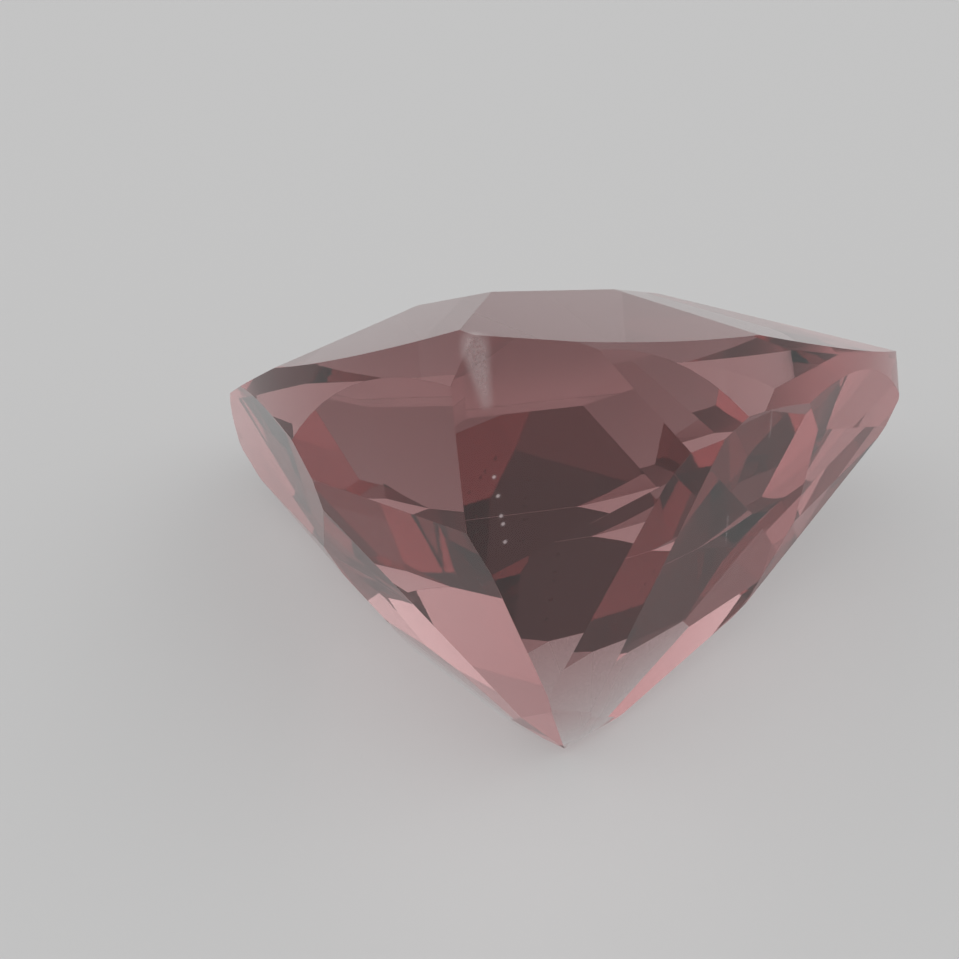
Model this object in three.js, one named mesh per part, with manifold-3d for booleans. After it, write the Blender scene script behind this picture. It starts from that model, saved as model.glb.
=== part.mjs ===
import * as THREE from 'three';
import { mergeVertices } from 'three/addons/utils/BufferGeometryUtils.js';
import Module from 'manifold-3d';

// A small three-cornered faceted garnet that rests on one of its long lower facets.
// Lengths are in millimetres and angles in degrees.
// The stone is cut with its axis upright: the crown is above, the pavilion tapers to
// the culet below, and heights count from the girdle's lower edge at the corners.

// Outline seen along the axis: three bowed sides and three tight corners.
const CORNER_REACH = 5.53;
const SIDE_BOW_RADIUS = 9.68;
const CORNER_ROUND_RADIUS = 0.21;
const STEPS_ALONG_SIDE = 26;
const STEPS_ROUND_CORNER = 4;

// The uncut blank is longer than the finished stone at both ends.
const BLANK_BOTTOM = -5.5;
const BLANK_TOP = 2.4;
const CUTTER_SIZE = 30;

// Azimuths of the side middles and of the corners, named as the resting stone lies
// before the viewer. The under side faces the ground.
const SIDES = { under: 270, left: 30, right: 150 };
const CORNERS = { left: 330, front: 90, right: 210 };
const HALF_SIDE = 60;

// Heights at which facets cross the axis or the girdle's upper edge. The girdle is
// thicker at some corners than at others.
const CULET_DEPTH = 4.79;
const MAIN_AXIS_DEPTH = 5.01;
const SIDE_REACH = 3.99;
const GIRDLE_TOP_AT_SIDES = { under: 0.77, left: 0.855, right: 0.8 };
const GIRDLE_TOP_AT_CORNERS = { left: 0.76, front: 1.01, right: 0.6 };
const TABLE = { slope: 1, azimuth: 301, height: 1.62 };

// Each side has two halves, and every half has one of each facet. A spread is how
// far the facet is turned from the middle of its side, a swing is a small further
// turn, and the shoulder is the point that corner and break facets share.
const USUAL_HALF = {
  culet: { slope: 37.4, spread: 9 },
  main: { slope: 48.2, spread: 8.6 },
  shoulder: { reach: 3.22, spread: 43, depth: 2.02 },
  corner: { slope: 51.5, spread: 25 },
  break: { slope: 56, spread: 20 },
  girdle: { slope: 65.5, spread: 16 },
  crown: { slope: 20.1, swing: 0 },
};

// The stone lies on a main facet of its under side.
const RESTING_FACET = { slope: 47.7, spread: 10.3 };

// The stone is hand cut, so facets of one kind differ by a few degrees from half to
// half.
const HALVES = [
  {
    side: 'under',
    corner: 'right',
    cut: { main: RESTING_FACET, girdle: { spread: 13 }, crown: { slope: 19.1 } },
  },
  {
    side: 'under',
    corner: 'left',
    cut: {
      main: RESTING_FACET,
      girdle: { slope: 68.5, spread: 14.5 },
      crown: { slope: 21.1, swing: 2 },
    },
  },
  {
    side: 'left',
    corner: 'left',
    cut: { girdle: { spread: 14.5 } },
  },
  {
    side: 'left',
    corner: 'front',
    cut: {
      shoulder: { reach: 3.68 },
      girdle: { slope: 65, spread: 17.5 },
      crown: { swing: -1.5 },
    },
  },
  {
    side: 'right',
    corner: 'front',
    cut: {
      main: { spread: 7.6 },
      shoulder: { reach: 3.13, depth: 1.8 },
      corner: { slope: 50.5, spread: 27 },
      break: { slope: 57.5, spread: 32 },
      girdle: { slope: 71, spread: 17.5 },
      crown: { swing: -4 },
    },
  },
  {
    side: 'right',
    corner: 'right',
    cut: {
      main: { slope: 49.7 },
      girdle: { spread: 19.5 },
      crown: { swing: -1.5 },
    },
  },
];

// The crown is turned away from the viewer, who looks along +Y.
const RESTING_AZIMUTH = SIDES.under + RESTING_FACET.spread;
const CROWN_HEADING = 92.6;

const GARNET_COLOUR = '#8f6f70';
const POLISH_ROUGHNESS = 0.06;

const wasm = await Module();
wasm.setup();

const rad = THREE.MathUtils.degToRad;

function polar(reach, azimuth) {
  return new THREE.Vector2(reach * Math.cos(rad(azimuth)), reach * Math.sin(rad(azimuth)));
}

function solidFrom(geometry) {
  const bare = geometry.clone();
  bare.deleteAttribute('normal');
  bare.deleteAttribute('uv');
  const merged = mergeVertices(bare);
  return new wasm.Manifold(new wasm.Mesh({
    numProp: 3,
    vertProperties: new Float32Array(merged.attributes.position.array),
    triVerts: new Uint32Array(merged.index.array),
  }));
}

function geometryFrom(solid) {
  const mesh = solid.getMesh();
  const geometry = new THREE.BufferGeometry();
  geometry.setAttribute('position', new THREE.BufferAttribute(mesh.vertProperties, mesh.numProp));
  geometry.setIndex(new THREE.BufferAttribute(mesh.triVerts, 1));
  geometry.computeVertexNormals();
  return geometry;
}

// Side bows are centred beyond the axis, on the far side of it from the bow.
function girdleOutline() {
  const bowOffset = (Math.sqrt(4 * SIDE_BOW_RADIUS ** 2 - 3 * CORNER_REACH ** 2) - CORNER_REACH) / 2;
  const inner = SIDE_BOW_RADIUS - CORNER_ROUND_RADIUS;
  const roundReach = (Math.sqrt(4 * inner ** 2 - 3 * bowOffset ** 2) - bowOffset) / 2;
  const tangent = polar(roundReach, HALF_SIDE).add(new THREE.Vector2(bowOffset, 0));
  const swing = THREE.MathUtils.radToDeg(tangent.angle());
  const turn = 2 * (HALF_SIDE - swing);
  const points = [];
  for (const middle of Object.values(SIDES)) {
    const bowCentre = polar(-bowOffset, middle);
    const roundCentre = polar(roundReach, middle + HALF_SIDE);
    for (let i = 0; i < STEPS_ALONG_SIDE; i++) {
      const azimuth = middle - swing + (2 * swing * i) / STEPS_ALONG_SIDE;
      points.push(bowCentre.clone().add(polar(SIDE_BOW_RADIUS, azimuth)));
    }
    for (let i = 0; i < STEPS_ROUND_CORNER; i++) {
      const azimuth = middle + swing + (turn * i) / STEPS_ROUND_CORNER;
      points.push(roundCentre.clone().add(polar(CORNER_ROUND_RADIUS, azimuth)));
    }
  }
  return new THREE.Shape(points);
}

function blank() {
  const geometry = new THREE.ExtrudeGeometry(girdleOutline(), {
    depth: BLANK_TOP - BLANK_BOTTOM,
    bevelEnabled: false,
  });
  geometry.translate(0, 0, BLANK_BOTTOM);
  return solidFrom(geometry);
}

// Outward direction of a facet: slopes are measured from the girdle plane, and
// pavilion facets face down.
function facing(slope, azimuth, isPavilion) {
  const level = polar(Math.sin(rad(slope)), azimuth);
  return new THREE.Vector3(level.x, level.y, (isPavilion ? -1 : 1) * Math.cos(rad(slope)));
}

// Everything outside the facet's plane is ground away with a large block.
function grind(stone, normal, meet) {
  const block = new THREE.BoxGeometry(CUTTER_SIZE, CUTTER_SIZE, CUTTER_SIZE);
  block.translate(0, 0, CUTTER_SIZE / 2);
  block.applyQuaternion(new THREE.Quaternion().setFromUnitVectors(new THREE.Vector3(0, 0, 1), normal));
  block.translate(meet.x, meet.y, meet.z);
  return stone.subtract(solidFrom(block));
}

function pointAt(reach, azimuth, height) {
  const level = polar(reach, azimuth);
  return new THREE.Vector3(level.x, level.y, height);
}

// Which way round the axis a half's corner lies from the middle of its side.
function turnOf(half) {
  const gap = THREE.MathUtils.euclideanModulo(CORNERS[half.corner] - SIDES[half.side], 360);
  return gap === HALF_SIDE ? 1 : -1;
}

function facetOf(half, kind) {
  return { ...USUAL_HALF[kind], ...half.cut[kind] };
}

function pavilionCuts(half) {
  const middle = SIDES[half.side];
  const turn = turnOf(half);
  const meet = facetOf(half, 'shoulder');
  const shoulder = pointAt(meet.reach, middle + turn * meet.spread, -meet.depth);
  const meets = {
    culet: pointAt(0, 0, -CULET_DEPTH),
    main: pointAt(0, 0, -MAIN_AXIS_DEPTH),
    corner: shoulder,
    break: shoulder,
    girdle: pointAt(CORNER_REACH, middle + turn * HALF_SIDE, 0),
  };
  return Object.entries(meets).map(([kind, point]) => {
    const facet = facetOf(half, kind);
    return [facing(facet.slope, middle + turn * facet.spread, true), point];
  });
}

// A crown facet of the set slope faces so that it passes through a point on the
// girdle's upper edge at the side and another at the corner, before its swing.
function crownCut(half) {
  const facet = facetOf(half, 'crown');
  const atSide = pointAt(SIDE_REACH, SIDES[half.side], GIRDLE_TOP_AT_SIDES[half.side]);
  const atCorner = pointAt(CORNER_REACH, CORNERS[half.corner], GIRDLE_TOP_AT_CORNERS[half.corner]);
  const run = new THREE.Vector2(atCorner.x - atSide.x, atCorner.y - atSide.y);
  const along = (atSide.z - atCorner.z) / (run.length() * Math.tan(rad(facet.slope)));
  const azimuth = THREE.MathUtils.radToDeg(run.angle() - turnOf(half) * Math.acos(along));
  return [facing(facet.slope, azimuth + facet.swing, false), atSide];
}

function cutStone() {
  let stone = blank();
  for (const half of HALVES) {
    for (const [normal, meet] of [...pavilionCuts(half), crownCut(half)]) {
      stone = grind(stone, normal, meet);
    }
  }
  return grind(stone, facing(TABLE.slope, TABLE.azimuth, false), pointAt(0, 0, TABLE.height));
}

// Lays the resting facet level on the ground and turns the crown to its heading.
function laidDown(geometry) {
  geometry.rotateZ(rad(-RESTING_AZIMUTH));
  geometry.rotateY(rad(RESTING_FACET.slope));
  geometry.rotateZ(rad(CROWN_HEADING));
  geometry.computeBoundingBox();
  const box = geometry.boundingBox;
  const middle = box.getCenter(new THREE.Vector3());
  geometry.translate(-middle.x, -middle.y, -box.min.z);
  return geometry;
}

const garnet = new THREE.Mesh(
  laidDown(geometryFrom(cutStone())),
  new THREE.MeshStandardMaterial({
    color: GARNET_COLOUR,
    roughness: POLISH_ROUGHNESS,
    metalness: 0,
    flatShading: true,
  }),
);
garnet.name = 'garnet';

const specimen = new THREE.Group();
specimen.add(garnet);

export default specimen;
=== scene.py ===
"""A faceted three-cornered garnet standing on a pale studio floor, in metres."""

import math

import bmesh
import bpy
from mathutils import Matrix, Vector
from mathutils.bvhtree import BVHTree


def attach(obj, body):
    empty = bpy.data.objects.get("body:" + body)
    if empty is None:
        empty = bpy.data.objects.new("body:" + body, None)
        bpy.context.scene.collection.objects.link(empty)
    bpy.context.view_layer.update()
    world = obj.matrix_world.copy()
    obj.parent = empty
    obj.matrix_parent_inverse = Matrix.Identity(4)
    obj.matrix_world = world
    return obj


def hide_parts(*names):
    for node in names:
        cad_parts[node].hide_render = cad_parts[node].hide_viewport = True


MM = 0.001

# A direction is given by its azimuth in degrees from straight ahead, to the right, and
# by its height above the horizon. The stone's axis leans away from the viewer.
CROWN_AXIS = {"azimuth": -2.6, "height": 42.3}

# The clear stone. The frame gives it as triangles, which are joined into whole facets
# where they meet flatter than the flat angle. An edge is an arris where it is sharper
# than the sharp angle. A girdle face leans from the axis by less than the sine given.
GARNET_IOR = 1.72
GARNET_TINT = (0.665, 0.325, 0.335)
GARNET_DEPTH_OF_COLOUR = 290.0
WELD_GAP = 0.004 * MM
FLAT_ANGLE = math.radians(0.6)
SHARP_ANGLE = math.radians(2.5)
GIRDLE_LEAN = 0.1
ARRIS_WIDTH = 0.018 * MM
ARRIS_ROUGHNESS = 0.3
WORN = "worn"

# Polishing streaks run one way over the whole stone.
STREAK_LENGTH = 1.6 * MM
STREAK_WIDTH = 0.035 * MM
STREAK_TURN = (0.35, 0.5, 0.2)
STREAK_RISE = (0.5, 0.8)
STREAK_HEIGHT = 0.00006 * MM
STREAK_ROUGHNESS = 0.03

# Marks of wear. Fine scratches run down the stone, the front corner of the girdle is
# abraded and a row of nicks runs down the front facet. A mark is placed by the pixel of
# the picture that shows its middle, and fades out at its reach.
SCRATCH_PIXELS = ((771, 424), (727, 528))
SCRATCH_ACROSS = Vector((0.995, -0.06, -0.08))
SCRATCH_REACH = 0.42 * MM
SCRATCH_WIDTH = 0.016 * MM
SCRATCH_PALENESS = 0.3
CORNER_WEAR_TOP_PIXEL = (473, 337)
CORNER_WEAR_END_PIXEL = (487, 406)
CORNER_WEAR_SPOTS = 10
CORNER_WEAR_REACH = 0.44 * MM
CORNER_WEAR_TAPER = 0.93
CORNER_WEAR_RISE = (0.4, 2.4)
CORNER_PALENESS = 0.42
NICK_PIXELS = ((494, 477), (498, 496), (501, 516), (503, 524), (505, 542))
NICK_REACH = 0.052 * MM
NICK_PALENESS = 0.75
GRAIN_SIZE = 0.05 * MM
GRAIN_RISE = (-0.2, 0.7)
GRAIN_HEIGHT = 0.0004 * MM
NOISE_DETAIL = 2.0
ABRADED_COLOUR = (0.66, 0.56, 0.56)
ABRADED_ROUGHNESS = 0.6

# The picture: a long lens looking down at 45 degrees, rolled very slightly. The culet
# shows at the given pixel.
PICTURE_WIDTH = 959
PIXEL_SIZE = 0.01425 * MM
CULET_PIXEL = (564.5, 748.7)
CAMERA_ELEVATION = math.radians(45.0)
CAMERA_ROLL = math.radians(2.0)
CAMERA_DISTANCE = 0.6
NEAREST_SEEN = 0.01
FARTHEST_SEEN = 10.0
SENSOR_WIDTH = 36.0

# The studio: a pale sheet lit softly from beneath, in a tent with a soft box high up
# on either side, a dim opening in front and a dimmer gap behind the stone.
FLOOR_SIZE = 2.0
FLOOR_SHADE = 0.3
FLOOR_GLOW = 0.28
FLOOR_ROUGHNESS = 0.45
TENT_BRIGHTNESS = 1.0
LEFT_BOX = {"azimuth": -85, "height": 60, "half_angle": 32, "softness": 16}
LEFT_BOX_BRIGHTNESS = 0.5
RIGHT_BOX = {"azimuth": 90, "height": 56, "half_angle": 34, "softness": 16}
RIGHT_BOX_BRIGHTNESS = 0.7
OPENING = {"azimuth": 180, "height": 38, "half_angle": 34, "softness": 14}
OPENING_DIMNESS = 0.78
GAP = {"azimuth": 0, "height": 50, "half_angle": 20, "softness": 12}
GAP_DIMNESS = 0.9
LIGHT_BOUNCES = 24
GLOSS_BLUR = 0.3


def pointing(azimuth, height):
    """The unit vector in a direction."""
    turn = math.radians(azimuth)
    rise = math.radians(height)
    level = math.cos(rise)
    return Vector((math.sin(turn) * level, math.cos(turn) * level, math.sin(rise)))


class Socket:
    """A shader value that can be used in sums like a number."""

    def __init__(self, finish, socket):
        self.finish = finish
        self.socket = socket

    def _maths(self, operation, a, b):
        return self.finish.node("ShaderNodeMath", {"operation": operation}, {0: a, 1: b})[0]

    def __add__(self, other):
        return self._maths("ADD", self, other)

    __radd__ = __add__

    def __sub__(self, other):
        return self._maths("SUBTRACT", self, other)

    def __rsub__(self, other):
        return self._maths("SUBTRACT", other, self)

    def __mul__(self, other):
        return self._maths("MULTIPLY", self, other)

    __rmul__ = __mul__

    def larger(self, other):
        return self._maths("MAXIMUM", self, other)

    def ramp(self, low, high):
        """Rises smoothly from 0 at low to 1 at high."""
        return self.finish.node(
            "ShaderNodeMapRange",
            {"interpolation_type": "SMOOTHSTEP"},
            {"Value": self, "From Min": low, "From Max": high},
        )[0]


class Outputs:
    """A node's outputs, by name or number."""

    def __init__(self, finish, node):
        self.finish = finish
        self.node = node

    def __getitem__(self, key):
        return Socket(self.finish, self.node.outputs[key])


class Finish:
    """A material or a sky, built node by node."""

    def __init__(self, owner):
        owner.use_nodes = True
        self.tree = owner.node_tree
        self.tree.nodes.clear()

    def node(self, kind, settings=None, inputs=None):
        made = self.tree.nodes.new(kind)
        for name, value in (settings or {}).items():
            setattr(made, name, value)
        for name, value in (inputs or {}).items():
            if isinstance(value, Socket):
                self.tree.links.new(value.socket, made.inputs[name])
            else:
                made.inputs[name].default_value = value
        return Outputs(self, made)

    def measured(self, operation, a, b):
        """A number worked out from two vectors."""
        return self.node("ShaderNodeVectorMath", {"operation": operation}, {0: a, 1: b})["Value"]

    def noise(self, place, scale):
        return self.node(
            "ShaderNodeTexNoise",
            None,
            {"Vector": place, "Scale": scale, "Detail": NOISE_DETAIL},
        )["Fac"]


class Picture:
    """The photograph's picture plane, laid through the stone's culet."""

    def __init__(self, culet):
        across = Vector((1, 0, 0))
        away = Vector((0, math.sin(CAMERA_ELEVATION), math.cos(CAMERA_ELEVATION)))
        self.right = across * math.cos(CAMERA_ROLL) - away * math.sin(CAMERA_ROLL)
        self.down = -across * math.sin(CAMERA_ROLL) - away * math.cos(CAMERA_ROLL)
        self.to_viewer = self.right.cross(-self.down)
        self.culet = culet
        middle = PICTURE_WIDTH / 2
        self.eye = self.place_at((middle, middle)) + self.to_viewer * CAMERA_DISTANCE

    def place_at(self, pixel):
        """Where a pixel lies on the picture plane."""
        right, down = ((value - aim) * PIXEL_SIZE for value, aim in zip(pixel, CULET_PIXEL))
        return self.culet + self.right * right + self.down * down

    def places_on(self, work, pixels):
        """The points of a surface that the viewer sees at some pixels."""
        surface = BVHTree.FromBMesh(work)
        rays = [self.place_at(pixel) - self.eye for pixel in pixels]
        return [surface.ray_cast(self.eye, ray)[0] for ray in rays]


def polishing_streaks(finish, place):
    """Noise in long parallel streaks."""
    turned = finish.node(
        "ShaderNodeMapping",
        {"vector_type": "POINT"},
        {
            "Vector": place,
            "Rotation": STREAK_TURN,
            "Scale": (1 / STREAK_WIDTH, 1 / STREAK_WIDTH, 1 / STREAK_LENGTH),
        },
    )[0]
    return finish.noise(turned, 1.0)


def fine_scratches(finish, place, middles):
    """Thin straight lines down the stone that fade out at both ends."""
    across = finish.measured("DOT_PRODUCT", place, SCRATCH_ACROSS)
    total = 0.0
    for middle in middles:
        offset = across - middle.dot(SCRATCH_ACROSS)
        line = 1 - (offset * offset).ramp(0, (SCRATCH_WIDTH / 2) ** 2)
        gap = finish.measured("DISTANCE", place, middle)
        total = total + line * (1 - gap.ramp(SCRATCH_REACH / 2, SCRATCH_REACH))
    return total


def worn_spots(finish, place, middles, reach, taper):
    """Soft spots, added up; each reaches as far as the one before, times the taper."""
    total = 0.0
    for middle in middles:
        total = total + 1 - finish.measured("DISTANCE", place, middle).ramp(0, reach)
        reach *= taper
    return total


def corner_wear_pixels():
    """An even row of pixels down the worn corner."""
    top = Vector(CORNER_WEAR_TOP_PIXEL)
    end = Vector(CORNER_WEAR_END_PIXEL)
    return [top.lerp(end, i / (CORNER_WEAR_SPOTS - 1)) for i in range(CORNER_WEAR_SPOTS)]


def clear_garnet(scratch_places, corner_places, nick_places):
    """Polished transparent garnet with its marks of wear."""
    material = bpy.data.materials.new("clear_garnet")
    finish = Finish(material)
    worn = finish.node("ShaderNodeAttribute", {"attribute_name": WORN})["Fac"]
    place = finish.node("ShaderNodeTexCoord")["Object"]
    streaks = polishing_streaks(finish, place)
    grain = finish.noise(place, 1 / GRAIN_SIZE)
    scratches = fine_scratches(finish, place, scratch_places)
    wear = worn_spots(finish, place, corner_places, CORNER_WEAR_REACH, CORNER_WEAR_TAPER)
    corner = wear.ramp(*CORNER_WEAR_RISE) * grain.ramp(*GRAIN_RISE)
    nicks = worn_spots(finish, place, nick_places, NICK_REACH, 1.0)
    paleness = (
        (corner * CORNER_PALENESS)
        .larger(nicks * NICK_PALENESS)
        .larger(scratches * SCRATCH_PALENESS)
    )
    roughness = worn * grain * ARRIS_ROUGHNESS + streaks.ramp(*STREAK_RISE) * STREAK_ROUGHNESS
    relief = streaks * STREAK_HEIGHT + corner * grain * GRAIN_HEIGHT
    facing = finish.node(
        "ShaderNodeBump",
        None,
        {"Strength": 1.0, "Distance": 1.0, "Height": relief},
    )[0]
    polished = finish.node(
        "ShaderNodeBsdfPrincipled",
        None,
        {
            "Base Color": (1.0, 1.0, 1.0, 1.0),
            "Roughness": roughness,
            "IOR": GARNET_IOR,
            "Transmission Weight": 1.0,
            "Normal": facing,
        },
    )
    abraded = finish.node(
        "ShaderNodeBsdfPrincipled",
        None,
        {
            "Base Color": (*ABRADED_COLOUR, 1.0),
            "Roughness": ABRADED_ROUGHNESS,
            "Normal": facing,
        },
    )
    surface = finish.node(
        "ShaderNodeMixShader",
        None,
        {0: paleness, 1: polished[0], 2: abraded[0]},
    )
    body_colour = finish.node(
        "ShaderNodeVolumeAbsorption",
        None,
        {"Color": (*GARNET_TINT, 1.0), "Density": GARNET_DEPTH_OF_COLOUR},
    )
    finish.node(
        "ShaderNodeOutputMaterial",
        None,
        {"Surface": surface[0], "Volume": body_colour[0]},
    )
    return material


def pale_floor():
    material = bpy.data.materials.new("pale_floor")
    finish = Finish(material)
    surface = finish.node(
        "ShaderNodeBsdfPrincipled",
        None,
        {
            "Base Color": (FLOOR_SHADE, FLOOR_SHADE, FLOOR_SHADE, 1.0),
            "Roughness": FLOOR_ROUGHNESS,
            "Emission Color": (1.0, 1.0, 1.0, 1.0),
            "Emission Strength": FLOOR_GLOW,
        },
    )
    finish.node("ShaderNodeOutputMaterial", None, {"Surface": surface[0]})
    return material


def culet_of(node):
    """The stone's point, at the end of the axis away from the crown."""
    axis = pointing(**CROWN_AXIS)
    return min((vertex.co.copy() for vertex in node.data.vertices), key=axis.dot)


def is_girdle(face):
    return abs(face.normal.dot(pointing(**CROWN_AXIS))) < GIRDLE_LEAN


def whole_facets(mesh):
    """The stone with each facet as one face."""
    work = bmesh.new()
    work.from_mesh(mesh)
    bmesh.ops.remove_doubles(work, verts=work.verts, dist=WELD_GAP)
    bmesh.ops.dissolve_limit(
        work,
        angle_limit=FLAT_ANGLE,
        verts=work.verts,
        edges=work.edges,
    )
    work.normal_update()
    return work


def round_arrises(work):
    """Takes a very narrow flat off every arris and marks it as worn."""
    worn = work.faces.layers.float.new(WORN)
    arrises = [edge for edge in work.edges if edge.calc_face_angle() > SHARP_ANGLE]
    made = bmesh.ops.bevel(
        work,
        geom=arrises,
        offset=ARRIS_WIDTH / 2,
        offset_type="OFFSET",
        segments=1,
        profile=0.5,
        affect="EDGES",
        clamp_overlap=True,
    )
    for face in made["faces"]:
        face[worn] = 1.0
    work.normal_update()


def smooth_girdle(work):
    """The girdle is one smooth curve, and every other edge is crisp."""
    for face in work.faces:
        face.smooth = is_girdle(face)
    for edge in work.edges:
        edge.smooth = all(is_girdle(face) for face in edge.link_faces)


def polished_stone(node, picture):
    """The faceted stone with its arrises very slightly rounded."""
    mesh = node.data.copy()
    mesh.name = "garnet_polished"
    stone = bpy.data.objects.new("garnet_polished", mesh)
    bpy.context.scene.collection.objects.link(stone)
    work = whole_facets(mesh)
    garnet = clear_garnet(
        picture.places_on(work, SCRATCH_PIXELS),
        picture.places_on(work, corner_wear_pixels()),
        picture.places_on(work, NICK_PIXELS),
    )
    round_arrises(work)
    smooth_girdle(work)
    work.to_mesh(mesh)
    work.free()
    mesh.materials.clear()
    mesh.materials.append(garnet)
    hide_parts("garnet")
    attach(stone, "root")


def studio_floor():
    mesh = bpy.data.meshes.new("studio_floor")
    half = FLOOR_SIZE / 2
    corners = [(-half, -half, 0), (half, -half, 0), (half, half, 0), (-half, half, 0)]
    mesh.from_pydata(corners, [], [(0, 1, 2, 3)])
    mesh.materials.append(pale_floor())
    floor = bpy.data.objects.new("studio_floor", mesh)
    bpy.context.scene.collection.objects.link(floor)


def light_patch(finish, direction, azimuth, height, half_angle, softness):
    """1 inside a round patch of the tent, falling softly to 0 outside it."""
    nearness = finish.measured("DOT_PRODUCT", direction, pointing(azimuth, height))
    rim = math.cos(math.radians(half_angle + softness))
    return nearness.ramp(rim, math.cos(math.radians(half_angle - softness)))


def studio_light():
    world = bpy.data.worlds.new("light_tent")
    bpy.context.scene.world = world
    finish = Finish(world)
    direction = finish.node("ShaderNodeTexCoord")["Generated"]
    left_box = light_patch(finish, direction, **LEFT_BOX)
    right_box = light_patch(finish, direction, **RIGHT_BOX)
    opening = light_patch(finish, direction, **OPENING)
    gap = light_patch(finish, direction, **GAP)
    boxes = left_box * LEFT_BOX_BRIGHTNESS + right_box * RIGHT_BOX_BRIGHTNESS
    dimmed = opening * OPENING_DIMNESS + gap * GAP_DIMNESS
    strength = TENT_BRIGHTNESS + boxes - dimmed
    background = finish.node("ShaderNodeBackground", None, {"Strength": strength})
    finish.node("ShaderNodeOutputWorld", None, {"Surface": background[0]})


def camera(picture):
    """The camera that gives the photograph's framing."""
    lens = bpy.data.cameras.new("camera")
    lens.sensor_width = SENSOR_WIDTH
    lens.lens = SENSOR_WIDTH * CAMERA_DISTANCE / (PICTURE_WIDTH * PIXEL_SIZE)
    lens.clip_start = NEAREST_SEEN
    lens.clip_end = FARTHEST_SEEN
    eye = bpy.data.objects.new("camera", lens)
    bpy.context.scene.collection.objects.link(eye)
    turn = Matrix((picture.right, -picture.down, picture.to_viewer)).transposed().to_4x4()
    eye.matrix_world = Matrix.Translation(picture.eye) @ turn
    bpy.context.scene.camera = eye


def light_paths():
    """Enough bounces for light to find its way out of the stone."""
    scene = bpy.context.scene
    scene.view_settings.view_transform = "Standard"
    scene.cycles.max_bounces = LIGHT_BOUNCES
    scene.cycles.glossy_bounces = LIGHT_BOUNCES
    scene.cycles.transmission_bounces = LIGHT_BOUNCES
    scene.cycles.transparent_max_bounces = LIGHT_BOUNCES
    scene.cycles.blur_glossy = GLOSS_BLUR


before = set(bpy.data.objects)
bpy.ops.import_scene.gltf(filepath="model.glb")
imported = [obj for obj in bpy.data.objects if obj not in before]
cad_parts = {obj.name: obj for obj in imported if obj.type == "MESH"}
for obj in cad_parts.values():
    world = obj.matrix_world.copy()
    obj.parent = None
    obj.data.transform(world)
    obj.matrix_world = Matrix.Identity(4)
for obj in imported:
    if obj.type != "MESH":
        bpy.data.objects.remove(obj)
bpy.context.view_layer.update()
stone_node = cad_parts["garnet"]
picture = Picture(culet_of(stone_node))
polished_stone(stone_node, picture)
studio_floor()
studio_light()
camera(picture)
light_paths()
